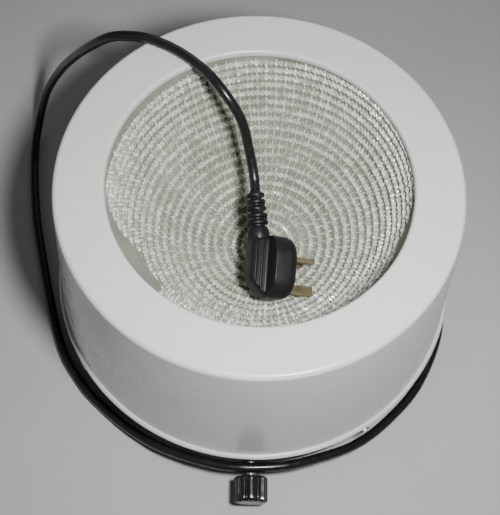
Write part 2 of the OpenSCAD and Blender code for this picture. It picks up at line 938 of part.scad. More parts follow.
// ---------- plug ----------
function turn_x(v, a) = [v[0], v[1] * cos(a) - v[2] * sin(a), v[1] * sin(a) + v[2] * cos(a)];
function turn_y(v, a) = [v[0] * cos(a) + v[2] * sin(a), v[1], -v[0] * sin(a) + v[2] * cos(a)];
function turn_z(v, a) = [v[0] * cos(a) - v[1] * sin(a), v[0] * sin(a) + v[1] * cos(a), v[2]];
function plug_dir(v) = turn_z(turn_x(turn_y(v, plug_roll), plug_tilt), -plug_yaw);
function plug_point(v) = plug_at + plug_dir(v);

// From the middle of the strain relief's root, +Z along the lead
module at_boot() {
    translate([boot_x, plug_size / 2, 0]) rotate([-90, 0, boot_lean]) children();
}

// Strain relief: a spigot in the body, a plain neck, then ribs
module plug_boot() {
    color("#181818")
        at_plug()
            at_boot() {
                translate([0, 0, -spigot_len])
                    cylinder(h = spigot_len + neck_gap, r = spigot_r, $fn = small_fn);
                translate([0, 0, neck_gap]) cylinder(h = neck_len - neck_gap, r = neck_r, $fn = small_fn);
                translate([0, 0, neck_len]) ribbed_boot(boot_len - neck_len, 8.4, 7, 5, 0);
            }
}

module plug_body() {
    half = plug_size / 2;
    color("#181818")
        at_plug()
            difference() {
                union() {
                    // slab behind the pin face, with rounded corners
                    translate([-slab_depth, 0, 0]) rotate([90, 0, 90])
                        linear_extrude(slab_depth)
                            intersection() {
                                translate([-half, -half]) square(plug_size);
                                circle(slab_r);
                            }
                    // finger grip with ribbed sides and a slanted lower corner
                    translate([0, 0, -grip_half])
                        linear_extrude(2 * grip_half)
                            polygon([[1 - slab_depth, half], [-plug_depth, half],
                                [-plug_depth, grip_cut - half], [grip_cut - plug_depth, -half],
                                [1 - slab_depth, -half]]);
                    for (s = [-1, 1], i = [0:1]) {
                        x = 3 + i * ridge_pitch;
                        low = grip_cut - x + 2;
                        translate([x - plug_depth, low - half, s * grip_half])
                            rotate([-90, 0, 0])
                                cylinder(h = plug_size - low - 3, r = 1.2, $fn = small_fn);
                    }
                }
                for (s = [-1, 1])
                    translate([-pin_root, pin_line_y - 1.975, s * pin_gap / 2 - 3.175])
                        cube([pin_root + 1, 3.95, 6.35]);
                translate([-pin_root, pin_line_y - pin_gap - 3.96, -2]) cube([pin_root + 1, 7.92, 4]);
                translate([-carrier_len - 0.3, carrier_y - carrier_h / 2, -carrier_w / 2])
                    cube([carrier_len + 1.3, carrier_h, carrier_w]);
                at_boot()
                    translate([0, 0, -spigot_len])
                        cylinder(h = spigot_len + neck_len, r = spigot_r, $fn = small_fn);
            }
}

module pin(w, h, len) {
    rotate([0, 90, 0])
        translate([-w / 2, -h / 2, 0]) cube([w, h, len - 1]);
    // tapered tip
    translate([len - 1, 0, 0])
        intersection() {
            translate([0, -h / 2, -w / 2]) cube([1, h, w]);
            rotate([0, 90, 0])
                cylinder(h = 1, r1 = w * 0.62, r2 = w * 0.62 - 1, $fn = small_fn);
        }
}

module live_pin() {
    color("darkgoldenrod")
        at_plug() translate([-pin_root, pin_line_y, pin_gap / 2]) pin(6.35, 3.95, 29.7);
}

module neutral_pin() {
    color("darkgoldenrod")
        at_plug() translate([-pin_root, pin_line_y, -pin_gap / 2]) pin(6.35, 3.95, 29.7);
}

module earth_pin() {
    color("darkgoldenrod")
        at_plug()
            translate([-pin_root, pin_line_y - pin_gap, 0]) rotate([90, 0, 0]) pin(7.92, 4, 34.7);
}

module fuse_carrier() {
    gap = 0.1;
    color("#303030")
        at_plug()
            translate([carrier_out - carrier_len, carrier_y - carrier_h / 2 + gap,
                -carrier_w / 2 + gap])
                difference() {
                    cube([carrier_len, carrier_h - 2 * gap, carrier_w - 2 * gap]);
                    // bore that holds the fuse
                    translate([4, carrier_h / 2 - gap, -1])
                        cylinder(h = carrier_w + 2, r = 3.2, $fn = small_fn);
                }
}

module plug_fuse() {
    color("white")
        at_plug()
            translate([carrier_out - carrier_len + 4, carrier_y, -12.7]) {
                cylinder(h = 25.4, r = 2.9, $fn = small_fn);
                for (z = [0, 19.4])
                    translate([0, 0, z]) cylinder(h = 6, r = 3.15, $fn = small_fn);
            }
}

// ---------- selection ----------
housing_shell();
case_brackets();
rim_insulation_ring();
base_gasket();
base_tray();
base_screws();
rubber_feet();
foot_screws();
foot_nuts();
nest_fabric();
element_upper();
element_lower();
backing_cloth();
insulation_blanket();
reflector_bowl();
bowl_support_ring();
heat_shield_plate();
shield_pillars();
pillar_screws();
regulator_case();
regulator_cover();
regulator_bracket();
bracket_screws();
bush_nut();
regulator_bimetal();
regulator_contacts();
regulator_terminals();
shaft_seal();
regulator_shaft();
regulator_cam();
knob_body();
knob_insert();
knob_cap();
knob_grub_screw();
indicator_lens();
indicator_bezel();
indicator_lamp();
terminal_block();
terminal_screws();
element_leads();
supply_wires();
lamp_wires();
thermal_fuse();
earth_stud();
earth_nut();
earth_wire();
gland_body();
gland_locknut();
gland_boot();
cord_clamp();
clamp_screws();
mains_cord();
plug_boot();
plug_body();
live_pin();
neutral_pin();
earth_pin();
fuse_carrier();
plug_fuse();
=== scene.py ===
"""Looks of a laboratory heating mantle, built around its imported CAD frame.

Lengths are in millimetres in the tables and functions below, and are turned into Blender's
metres where meshes are made. The bowl's axis is Z, the bench is z = 0 and the knob is at -Y.
"""

import json
import math

import bmesh
import bpy
import numpy as np
from mathutils import Matrix, Quaternion, Vector


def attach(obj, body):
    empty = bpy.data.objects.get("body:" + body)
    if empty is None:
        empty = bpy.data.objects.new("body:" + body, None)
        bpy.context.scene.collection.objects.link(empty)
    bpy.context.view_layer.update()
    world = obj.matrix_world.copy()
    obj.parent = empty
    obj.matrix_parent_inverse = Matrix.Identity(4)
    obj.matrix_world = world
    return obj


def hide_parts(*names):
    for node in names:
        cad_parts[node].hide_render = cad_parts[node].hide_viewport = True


MM = 0.001
SHARP_ANGLE = math.radians(38)

# Camera: the point it looks at, its distance from there, and its angles in degrees
CAMERA_AIM = (-6.6, -62.8, 210.0)
CAMERA_DISTANCE = 574.3
CAMERA_AZIMUTH = -2.1
CAMERA_ELEVATION = 65.9
CAMERA_ROLL = 3.2
CAMERA_LENS = 58.1

# Mains lead: the same route as the CAD's, from the gland to the plug's boot
CORD_ROUTE = [
    (0, 202.5, 27), (1, 214, 26), (6, 229, 21.5), (20, 242, 13.5), (44, 243, 7), (68, 231, 4.9),
    (100, 198, 4.7), (134, 153, 4.7), (171, 55, 4.7), (177, 0, 4.7), (171, -48, 4.7), (150, -94, 4.7),
    (122, -126, 8), (93, -149, 16), (62, -163, 26), (24, -173.5, 34.5), (-22, -174, 34.8),
    (-68, -161, 25), (-100, -144, 14), (-129, -122, 6.5), (-153, -98, 4.7), (-177, -57, 4.7),
    (-206, 42, 4.7), (-217, 95, 4.7), (-222, 140, 6), (-219, 168, 17), (-207, 182, 48),
    (-187, 178, 88), (-164, 161, 133), (-142, 143, 172), (-120, 130, 201), (-100, 123, 211.5),
    (-84, 117.2, 214.6), (-63, 106.5, 214.7), (-42, 89, 214.4), (-27, 72.5, 209),
    (-14.5, 60.5, 192.5), (-8, 47, 172),
]
CORD_TAIL = 12.0
CORD_DIAMETER = 8.0
CORD_STEPS = 8

# Plug: centre of its pin face, its angles in degrees, and its own sizes along
# x (pins), y (lead) and z (thickness)
PLUG_AT = (24, -36.4, 127.3)
PLUG_YAW = 3
PLUG_TILT = 15
PLUG_ROLL = 22
PLUG_HALF = 24.5
PLUG_DEPTH = 33.5
PLUG_SLAB = 20.0
PLUG_SLAB_CORNER = 16.0
PLUG_SLAB_RIM_R = 0.8
PLUG_NOSE_R = 8.0
GRIP_HALF_WIDTH = 23.2
GRIP_HALF_DEPTH = 9.0
GRIP_EDGE_R = 3.0
GRIP_CORNER = 4.0
GRIP_CUT = 13.0
GRIP_CUT_BEND = 3.0
GRIP_FILLET_R = 2.0
GRIP_RIDGE_PITCH = 5.0
GRIP_RIDGE_HEIGHT = 0.9
GRIP_RIDGED = (0.8, 10.5)
BOOT_X = -26.0
BOOT_LENGTH = 36.0
BOOT_LEAN = 9
BOOT_RINGS = 5
BOOT_FIRST_RING = 8.6
BOOT_RING_PITCH = 5.5
BOOT_RING_R = 8.5
BOOT_TAPER = 0.32
BOOT_GROOVE = 2.7
BOOT_BRIDGE = 2.3
CARRIER_POCKET = ((-9.3, -7.8, -15.5), (1.0, -0.2, 15.5))

# Knitted nest: a hemisphere of glass-fibre yarn, its rows and its wales
NEST_CENTRE = (0, 0, 203)
KNIT_R = 114.0
KNIT_TOP = 207.6
BASE_DEPTH = 1.9
BASE_THICKNESS = 0.7
ROW_FIRST = 84.5
ROW_LAST = 4.5
ROW_COUNT = 21
WALES = 90
KNIT_TILT = 3.5
KNIT_TILT_AZIMUTH = 15
# Bare patches of cloth: azimuth, half width, lowest polar angle, in degrees; the lower edge of
# a patch rises towards its ends
BARE_PATCHES = [(-151, 27, 55), (-30, 30, 67)]
BARE_RISE = 26
# Row yarn: how far its two strands lie from its middle, across and in depth, their radius,
# and the depth of its middle
ROW_ACROSS = 1.4
ROW_DEEP = 0.9
ROW_STRAND_R = 1.3
ROW_DEPTH = 1.0
ROW_STEPS_PER_TWIST = 6
# Stitches: their radius and its shares in the run and in the knot, and the depth of each
STITCH_R = 0.95
STITCH_RUN_SHARE = 0.46
STITCH_KNOT_SHARE = 0.98
STITCH_RUN_DEPTH = 2.05
STITCH_KNOT_RISE = 2.6
STITCH_REACH = 0.54
STITCH_STATIONS = 11
YARN_SIDES = 6
# Yarn colours: bright filaments with painted glints, dulled filaments, stains
STITCH_YARN = ((0.96, 0.97, 0.90), (0.40, 0.41, 0.32), (0.42, 0.34, 0.21))
# The rows' yarn is the stitches' yarn made darker: painted shade on the rows beneath the knots
SHADED_ROW_YARN = ((0.90, 0.91, 0.84), (0.36, 0.37, 0.29), (0.40, 0.32, 0.20))

# Knob
KNOB_AXIS_Z = 27.0
KNOB_BACK = 181.5
KNOB_LENGTH = 21.0
KNOB_R = 14.0
KNOB_CAP_R = 9.6
KNOB_BORE_R = 5.04
KNOB_BORE_DEPTH = 4.0
KNOB_RIBS = 12

# Surroundings, in metres: lamps by name, place, the point they face, diameter and watts
LAMPS = [
    ("key", (0.085, -0.23, 0.66), (0, 0, 0.18), 0.08, 5.6),
    ("fill_left", (-1.2, -0.6, 1.0), (0, 0, 0.1), 1.0, 0.5),
    ("rear", (0.1, 1.4, 1.2), (0, 0, 0.15), 0.9, 2.0),
]
SURROUND_COLOUR = (0.80, 0.84, 0.90, 1)
SURROUND_STRENGTH = 0.08
FLOOR_HALF = 3.0

rng = np.random.default_rng(7)
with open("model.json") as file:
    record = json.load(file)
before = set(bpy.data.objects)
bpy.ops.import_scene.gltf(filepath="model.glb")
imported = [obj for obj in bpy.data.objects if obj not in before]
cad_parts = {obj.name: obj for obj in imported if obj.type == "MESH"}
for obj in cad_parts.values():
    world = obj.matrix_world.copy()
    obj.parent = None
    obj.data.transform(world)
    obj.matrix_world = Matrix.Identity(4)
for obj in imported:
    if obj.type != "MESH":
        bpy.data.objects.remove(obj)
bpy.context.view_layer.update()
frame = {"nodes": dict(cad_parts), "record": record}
cad_nodes = frame["nodes"]


# ---------- meshes ----------
def add_piece(name, points, faces, material, body="root"):
    """A new mesh piece of the object from points in millimetres, riding on a body."""
    mesh = bpy.data.meshes.new(name)
    mesh.from_pydata((np.asarray(points, float) * MM).tolist(), [], faces)
    mesh.materials.append(material)
    tidy = bmesh.new()
    tidy.from_mesh(mesh)
    bmesh.ops.recalc_face_normals(tidy, faces=tidy.faces)
    tidy.to_mesh(mesh)
    tidy.free()
    mesh.polygons.foreach_set("use_smooth", [True] * len(mesh.polygons))
    mesh.set_sharp_from_angle(angle=SHARP_ANGLE)
    piece = bpy.data.objects.new(name, mesh)
    bpy.context.scene.collection.objects.link(piece)
    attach(piece, body)
    return piece


def grid_faces(rows, columns, closed_rows=False, closed_columns=True, first=0):
    """Quads between neighbouring rows of a grid of points that is stored row by row."""
    faces = []
    for i in range(rows if closed_rows else rows - 1):
        a = first + i * columns
        b = first + (i + 1) % rows * columns
        for j in range(columns if closed_columns else columns - 1):
            k = (j + 1) % columns
            faces.append((a + j, b + j, b + k, a + k))
    return faces


def lathe(profile, sides, ripple=None):
    """Points and faces of a closed solid of revolution about +Z.

    profile holds (radius, height) pairs that start and end on the axis, where the radius is 0.
    ripple(angles, index) gives a radius to add at each angle of the profile's point.
    """
    angles = np.linspace(0, 2 * math.pi, sides, endpoint=False)
    inner = profile[1:-1]
    points = []
    for index, (radius, height) in enumerate(inner):
        r = radius + (ripple(angles, index) if ripple else 0)
        ring = np.stack([r * np.cos(angles), r * np.sin(angles), np.full(sides, height)], 1)
        points.extend(ring)
    faces = grid_faces(len(inner), sides)
    for end, row in ((0, 0), (-1, len(inner) - 1)):
        tip = len(points)
        points.append((0, 0, profile[end][1]))
        for j in range(sides):
            edge = (row * sides + j, row * sides + (j + 1) % sides)
            faces.append((tip, *edge) if end == 0 else (tip, *edge[::-1]))
    return np.array(points), faces


def bevelled(piece, width, segments=2, angle=35):
    """Rounds a piece's sharp edges."""
    bevel = piece.modifiers.new("edge rounding", "BEVEL")
    bevel.width = width * MM
    bevel.segments = segments
    bevel.limit_method = "ANGLE"
    bevel.angle_limit = math.radians(angle)
    bevel.harden_normals = True


def spline(route, steps):
    """Catmull-Rom curve through the route's points, as the CAD's lead follows it."""
    p = np.array(route, float)
    last = len(p) - 1
    out = []
    for i in range(last):
        a, b, c, d = p[max(i - 1, 0)], p[i], p[i + 1], p[min(i + 2, last)]
        for s in range(steps):
            t = s / steps
            out.append(0.5 * (2 * b + (c - a) * t + (2 * a - 5 * b + 4 * c - d) * t * t
                              + (3 * b - a - 3 * c + d) * t ** 3))
    out.append(p[-1])
    return np.array(out)


# ---------- places ----------
def plug_matrix():
    """From the plug's own axes to the frame, in millimetres."""
    turns = (
        Matrix.Rotation(math.radians(-PLUG_YAW), 4, "Z")
        @ Matrix.Rotation(math.radians(PLUG_TILT), 4, "X")
        @ Matrix.Rotation(math.radians(PLUG_ROLL), 4, "Y")
    )
    return Matrix.Translation(PLUG_AT) @ turns


def boot_matrix():
    """From the strain relief's own axes, +Z along the lead, to the frame, in millimetres."""
    root = Matrix.Translation((BOOT_X, PLUG_HALF, 0))
    lean = Matrix.Rotation(math.radians(BOOT_LEAN), 4, "Z")
    return plug_matrix() @ root @ lean @ Matrix.Rotation(-math.pi / 2, 4, "X")


def knob_matrix():
    """From the knob's own axis, +Z towards the front, to the frame, in millimetres."""
    return Matrix.Translation((0, -KNOB_BACK, KNOB_AXIS_Z)) @ Matrix.Rotation(math.pi / 2, 4, "X")


def placed(points, matrix):
    """Points moved by a 4 x 4 matrix."""
    m = np.array(matrix)
    return np.asarray(points) @ m[:3, :3].T + m[:3, 3]


# ---------- camera ----------
def make_camera():
    azimuth = math.radians(CAMERA_AZIMUTH)
    elevation = math.radians(CAMERA_ELEVATION)
    ahead = Vector((
        -math.sin(azimuth) * math.cos(elevation),
        math.cos(azimuth) * math.cos(elevation),
        -math.sin(elevation),
    ))
    camera = bpy.data.objects.new("camera", bpy.data.cameras.new("camera"))
    camera.data.lens = CAMERA_LENS
    camera.rotation_mode = "QUATERNION"
    roll = Quaternion((0, 0, 1), math.radians(CAMERA_ROLL))
    camera.rotation_quaternion = ahead.to_track_quat("-Z", "Y") @ roll
    camera.location = (Vector(CAMERA_AIM) - ahead * CAMERA_DISTANCE) * MM
    bpy.context.scene.collection.objects.link(camera)
    bpy.context.scene.camera = camera


# ---------- materials ----------
class Shader:
    """One procedural material, with short calls for the nodes that these materials share."""

    def __init__(self, name, roughness, metallic=0.0, specular=0.5):
        self.material = bpy.data.materials.new(name)
        self.material.use_nodes = True
        self.nodes = self.material.node_tree.nodes
        self.links = self.material.node_tree.links
        self.out = self.nodes["Principled BSDF"]
        self.set("Roughness", roughness)
        self.set("Metallic", metallic)
        self.set("Specular IOR Level", specular)
        self.place = self.nodes.new("ShaderNodeTexCoord").outputs["Object"]

    def set(self, socket, value):
        self.out.inputs[socket].default_value = value

    def link(self, source, socket):
        self.links.new(source, self.out.inputs[socket])

    def noise(self, scale, detail=3.0, stretch=(1, 1, 1), distortion=0.0):
        """Noise with scale waves a metre, drawn out where stretch is small."""
        mapping = self.nodes.new("ShaderNodeMapping")
        mapping.inputs["Scale"].default_value = stretch
        self.links.new(self.place, mapping.inputs["Vector"])
        node = self.nodes.new("ShaderNodeTexNoise")
        node.inputs["Scale"].default_value = scale
        node.inputs["Detail"].default_value = detail
        node.inputs["Distortion"].default_value = distortion
        self.links.new(mapping.outputs["Vector"], node.inputs["Vector"])
        return node.outputs["Fac"]

    def wave(self, scale, direction, distortion=0.0):
        """Bands across one axis, with about scale / 3 bands a metre."""
        node = self.nodes.new("ShaderNodeTexWave")
        node.bands_direction = direction
        node.inputs["Scale"].default_value = scale
        node.inputs["Distortion"].default_value = distortion
        self.links.new(self.place, node.inputs["Vector"])
        return node.outputs["Fac"]

    def cells(self, scale):
        """Distance to the nearest of scattered points."""
        node = self.nodes.new("ShaderNodeTexVoronoi")
        node.inputs["Scale"].default_value = scale
        self.links.new(self.place, node.inputs["Vector"])
        return node.outputs["Distance"]

    def ramp(self, factor, stops):
        """Colours or greys at places from 0 to 1 along a factor."""
        node = self.nodes.new("ShaderNodeValToRGB")
        ends = node.color_ramp.elements
        while len(ends) < len(stops):
            ends.new(0.5)
        for end, (place, value) in zip(ends, stops):
            end.position = place
            end.color = (*value, 1) if isinstance(value, tuple) else (value, value, value, 1)
        self.links.new(factor, node.inputs["Fac"])
        return node.outputs["Color"]

    def blend(self, factor, first, second, mode="MIX"):
        node = self.nodes.new("ShaderNodeMix")
        node.data_type = "RGBA"
        node.blend_type = mode
        for socket, source in (("Factor_Float", factor), ("A_Color", first), ("B_Color", second)):
            target = next(s for s in node.inputs if s.identifier == socket)
            if isinstance(source, (int, float)):
                target.default_value = source
            else:
                self.links.new(source, target)
        return next(s for s in node.outputs if s.identifier == "Result_Color")

    def product(self, first, second):
        node = self.nodes.new("ShaderNodeMath")
        node.operation = "MULTIPLY"
        self.links.new(first, node.inputs[0])
        self.links.new(second, node.inputs[1])
        return node.outputs[0]

    def bump(self, height, strength, depth, over=None):
        """Adds relief of a depth in millimetres; over is another bump that it lies on."""
        node = self.nodes.new("ShaderNodeBump")
        node.inputs["Strength"].default_value = strength
        node.inputs["Distance"].default_value = depth * MM
        self.links.new(height, node.inputs["Height"])
        if over is not None:
            self.links.new(over, node.inputs["Normal"])
        self.link(node.outputs["Normal"], "Normal")
        return node.outputs["Normal"]


def shade(colour, amount):
    """A colour made lighter or darker."""
    return tuple(min(1.0, c * amount) for c in colour)


def enamel(name, colour, roughness, coat):
    """Stove enamel: faint orange peel, cloudy gloss and a few specks of dust."""
    s = Shader(name, roughness, specular=0.5)
    s.set("Coat Weight", coat)
    s.set("Coat Roughness", 0.12)
    cloud = s.ramp(s.noise(14, 4), [(0.3, shade(colour, 0.975)), (0.7, shade(colour, 1.01))])
    specks = s.ramp(s.cells(160), [(0.0, 0.55), (0.045, 1.0)])
    s.link(s.blend(1.0, cloud, specks, "MULTIPLY"), "Base Color")
    s.link(s.ramp(s.noise(35, 5), [(0.35, roughness - 0.06), (0.65, roughness + 0.08)]), "Roughness")
    peel = s.bump(s.noise(420, 2), 0.08, 0.05)
    s.bump(s.noise(22, 1), 0.03, 0.06, over=peel)
    return s.material


def plain_metal(name, colour, roughness, stretch=(1, 1, 1)):
    """Metal with fine drawn lines, cloudy oxide and worn patches."""
    s = Shader(name, roughness, metallic=1.0)
    s.link(s.ramp(s.noise(90, 6), [(0.3, shade(colour, 0.72)), (0.7, shade(colour, 1.08))]), "Base Color")
    s.link(s.ramp(s.noise(160, 5), [(0.3, roughness - 0.1), (0.7, roughness + 0.16)]), "Roughness")
    s.bump(s.noise(1500, 2, stretch), 0.25, 0.03)
    return s.material


def plastic(name, colour, roughness, grain=0.0, specular=0.5):
    """Moulded plastic: flow marks in the gloss, and spark-eroded grain where it is satin."""
    s = Shader(name, roughness, specular=specular)
    s.link(s.ramp(s.noise(60, 5), [(0.3, shade(colour, 0.8)), (0.7, shade(colour, 1.2))]), "Base Color")
    s.link(s.ramp(s.noise(120, 6), [(0.3, max(0.05, roughness - 0.07)), (0.7, roughness + 0.1)]),
           "Roughness")
    smooth = s.bump(s.noise(150, 2), 0.08, 0.15)
    if grain:
        s.bump(s.noise(2600, 3), grain, 0.05, over=smooth)
    return s.material


def rubber(name, colour):
    """Matt rubber with bloom and dust in its pores."""
    s = Shader(name, 0.75, specular=0.35)
    s.link(s.ramp(s.noise(80, 6), [(0.35, colour), (0.75, shade(colour, 1.9))]), "Base Color")
    s.link(s.ramp(s.noise(200, 4), [(0.3, 0.62), (0.7, 0.85)]), "Roughness")
    s.bump(s.noise(1200, 4), 0.3, 0.08)
    return s.material


def glass_yarn(name, light, dull, stain):
    """Twisted glass-fibre yarn: fine bright filaments with painted glints, dulled and stained in patches.
    """
    s = Shader(name, 0.34, specular=0.95)
    s.set("Coat Weight", 0.8)
    s.set("Coat Roughness", 0.12)
    s.set("Sheen Weight", 0.1)
    s.set("Sheen Roughness", 0.4)
    # Filament tone, whose lightest end, the light colour, is painted glints on the yarn
    filaments_and_glints = s.ramp(s.noise(520, 4, distortion=1.5),
                       [(0.36, shade(light, 0.42)), (0.50, shade(light, 0.72)), (0.62, light)])
    worn = s.ramp(s.noise(140, 3), [(0.45, 0.0), (0.60, 0.75)])
    aged = s.blend(worn, filaments_and_glints, s.ramp(s.noise(400, 2), [(0.2, shade(dull, 0.8)), (0.8, dull)]))
    spots = s.ramp(s.noise(34, 2, (1.0, 1.3, 0.8)), [(0.66, 0.0), (0.78, 0.5)])
    s.link(s.blend(spots, aged, s.ramp(s.noise(150, 2), [(0.2, shade(stain, 0.8)), (0.8, stain)])),
           "Base Color")
    s.link(s.ramp(s.noise(500, 3), [(0.35, 0.14), (0.65, 0.5)]), "Roughness")
    s.bump(s.noise(700, 4, distortion=2.0), 0.9, 0.45)
    return s.material


def cloth(name, light, dark, threads):
    """Woven cloth with a number of threads a metre each way, and cloudy dirt; darker colours passed in
    also carry painted shade.
    """
    s = Shader(name, 0.85, specular=0.25)
    s.set("Sheen Weight", 0.2)
    waves = threads * 0.31
    weave = s.product(s.wave(waves, "X", 0.4), s.product(s.wave(waves, "Y", 0.4), s.wave(waves, "Z", 0.4)))
    # Cloudy dirt between the two colours; for the ground cloth both colours are darkened as painted shade
    dirt_and_shade = s.ramp(s.noise(30, 5), [(0.35, dark), (0.7, light)])
    s.link(s.blend(0.35, dirt_and_shade, s.ramp(weave, [(0.0, 0.55), (0.5, 1.0)]), "MULTIPLY"), "Base Color")
    coarse = s.bump(s.noise(260, 4), 0.35, 0.4)
    s.bump(weave, 0.6, 0.25, over=coarse)
    return s.material


def wool(name, colour):
    """Needled glass wool: long tangled fibres."""
    s = Shader(name, 0.95, specular=0.15)
    s.set("Sheen Weight", 0.4)
    strands = s.noise(240, 7, (1, 1, 0.25), distortion=3.0)
    s.link(s.ramp(strands, [(0.3, shade(colour, 0.6)), (0.7, shade(colour, 1.1))]), "Base Color")
    s.bump(strands, 0.8, 0.8)
    return s.material


def braid(name, colour):
    """Braided sleeve: crossing bundles of filaments."""
    s = Shader(name, 0.6, specular=0.4)
    crossing = s.product(s.noise(900, 2, (1, 0.2, 1)), s.noise(900, 2, (0.2, 1, 1)))
    s.link(s.ramp(crossing, [(0.12, shade(colour, 0.6)), (0.35, colour)]), "Base Color")
    s.bump(crossing, 0.7, 0.3)
    return s.material


def board(name, colour):
    """Chalky board or fired ceramic with pores and grit."""
    s = Shader(name, 0.9, specular=0.2)
    s.link(s.ramp(s.noise(300, 7), [(0.3, shade(colour, 0.82)), (0.6, colour)]), "Base Color")
    s.bump(s.cells(500), 0.4, 0.2)
    return s.material


def clear_lens(name, colour, roughness):
    """Tinted clear moulding with faint flow lines."""
    s = Shader(name, roughness, specular=0.6)
    s.set("Transmission Weight", 0.55)
    s.set("IOR", 1.49)
    s.link(s.ramp(s.noise(120, 3), [(0.3, shade(colour, 0.8)), (0.7, colour)]), "Base Color")
    s.bump(s.noise(300, 2), 0.1, 0.1)
    return s.material


def make_materials():
    """The finish of each slot of the record."""
    return {
        "white_enamel": enamel("white enamel", (0.63, 0.64, 0.62), 0.30, 0.35),
        "black_enamel": enamel("black enamel", (0.016, 0.016, 0.018), 0.38, 0.15),
        "plated_steel": plain_metal("zinc plate", (0.66, 0.66, 0.63), 0.34, (1, 0.1, 1)),
        "bare_aluminium": plain_metal("spun aluminium", (0.78, 0.78, 0.79), 0.30, (1, 1, 0.1)),
        "glass_knit": glass_yarn("glass yarn", *STITCH_YARN),
        "glass_cloth": cloth("glass cloth", (0.80, 0.80, 0.74), (0.60, 0.60, 0.54), 700),
        "glass_wool": wool("glass wool", (0.78, 0.72, 0.46)),
        "element_sleeve": braid("braided sleeve", (0.76, 0.75, 0.69)),
        "insulation_board": board("silicate board", (0.78, 0.76, 0.70)),
        "black_rubber": rubber("black rubber", (0.018, 0.018, 0.019)),
        "grey_rubber": rubber("grey rubber", (0.17, 0.17, 0.165)),
        "knob_plastic": plastic("gloss phenolic", (0.012, 0.012, 0.013), 0.18, specular=0.6),
        "brown_phenolic": plastic("brown phenolic", (0.13, 0.055, 0.025), 0.32),
        "laminate_board": board("paper laminate", (0.50, 0.32, 0.16)),
        "cam_nylon": plastic("nylon", (0.76, 0.74, 0.66), 0.45, 0.15),
        "bright_brass": plain_metal("turned brass", (0.74, 0.56, 0.28), 0.28),
        "bimetal": plain_metal("rolled bimetal", (0.55, 0.45, 0.28), 0.40, (0.1, 1, 1)),
        "amber_lens": clear_lens("amber lens", (0.80, 0.20, 0.03), 0.12),
        "black_plastic": plastic("black nylon", (0.015, 0.015, 0.016), 0.48, 0.25),
        "lamp_glass": clear_lens("lamp glass", (0.92, 0.80, 0.66), 0.05),
        "wire_pvc": plastic("wire insulation", (0.20, 0.09, 0.04), 0.35),
        "earth_pvc": plastic("earth insulation", (0.32, 0.50, 0.06), 0.35),
        "cord_pvc": plastic("lead sheath", (0.010, 0.010, 0.011), 0.24, specular=0.55),
        "plug_pvc": plastic("moulded plug", (0.010, 0.010, 0.011), 0.42, 0.2, specular=0.3),
        "pin_brass": plain_metal("dull brass", (0.26, 0.22, 0.12), 0.48, (0.1, 1, 1)),
        "fuse_ceramic": board("fuse barrel", (0.86, 0.84, 0.80)),
    }


def dress_frame(materials):
    """Gives every CAD node the finish of its slot."""
    slots = {part["node"]: part["material_slot"] for part in frame["record"]["subparts"]}
    for name, node in cad_nodes.items():
        node.data.materials.clear()
        node.data.materials.append(materials[slots[name]])


# ---------- mains lead ----------
def make_cord(materials):
    boot = boot_matrix()
    tail = [tuple(boot @ Vector((0, 0, BOOT_LENGTH + step))) for step in (CORD_TAIL, 0)]
    route = CORD_ROUTE + tail
    path = spline(route, CORD_STEPS) * MM
    curve = bpy.data.curves.new("mains_lead", "CURVE")
    curve.dimensions = "3D"
    curve.bevel_depth = CORD_DIAMETER / 2 * MM
    curve.bevel_resolution = 6
    curve.use_fill_caps = True
    line = curve.splines.new("POLY")
    line.points.add(len(path) - 1)
    line.points.foreach_set("co", np.column_stack([path, np.ones(len(path))]).ravel())
    line.use_smooth = True
    curve.materials.append(materials["cord_pvc"])
    lead = bpy.data.objects.new("mains_lead", curve)
    bpy.context.scene.collection.objects.link(lead)
    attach(lead, "root")
    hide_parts("mains_cord")
    length = float(np.linalg.norm(np.diff(path, axis=0), axis=1).sum())
    return lead, path, length


# ---------- knitted nest ----------
def smooth_step(x, low, high):
    t = np.clip((x - low) / (high - low), 0, 1)
    return t * t * (3 - 2 * t)


def bare(directions):
    """How far cloth covers the yarn in a direction from the nest's centre, from 0 to 1."""
    azimuth = np.degrees(np.arctan2(directions[..., 1], directions[..., 0]))
    polar = np.degrees(np.arccos(np.clip(-directions[..., 2], -1, 1)))
    cover = np.zeros(azimuth.shape)
    for centre, half, lowest in BARE_PATCHES:
        off = np.abs((azimuth - centre + 180) % 360 - 180)
        wander = 3 * np.sin(np.radians(polar * 9)) + 2 * np.sin(np.radians(azimuth * 17))
        across = 1 - smooth_step(off + wander, half - 3, half + 3)
        edge = lowest + BARE_RISE * (off / half) ** 2
        cover = np.maximum(cover, across * smooth_step(polar + wander, edge - 2, edge + 3))
    return cover


def on_nest(polar, azimuth, depth, tilted=True):
    """Points of the nest at angles in radians, a depth in mm behind the CAD's inner face."""
    polar, azimuth, depth = np.broadcast_arrays(polar, azimuth, depth)
    ways = np.stack([
        np.sin(polar) * np.cos(azimuth), np.sin(polar) * np.sin(azimuth), -np.cos(polar)
    ], -1)
    if tilted:
        lean = Quaternion(
            (-math.sin(math.radians(KNIT_TILT_AZIMUTH)), math.cos(math.radians(KNIT_TILT_AZIMUTH)), 0),
            math.radians(-KNIT_TILT),
        )
        ways = ways @ np.array(lean.to_matrix()).T
        depth = depth + 2.6 * bare(ways) + 1.6 * smooth_step(ways[..., 2] * KNIT_R, 0.0, 2.5)
    level = np.maximum(np.hypot(ways[..., 0], ways[..., 1]), 1e-6)
    reach = (KNIT_R + depth) * np.where(ways[..., 2] > 0, 1 / level, 1)
    points = ways * reach[..., None]
    points[..., 2] = np.where(ways[..., 2] > 0, ways[..., 2] * KNIT_R, points[..., 2])
    return points + np.array(NEST_CENTRE)


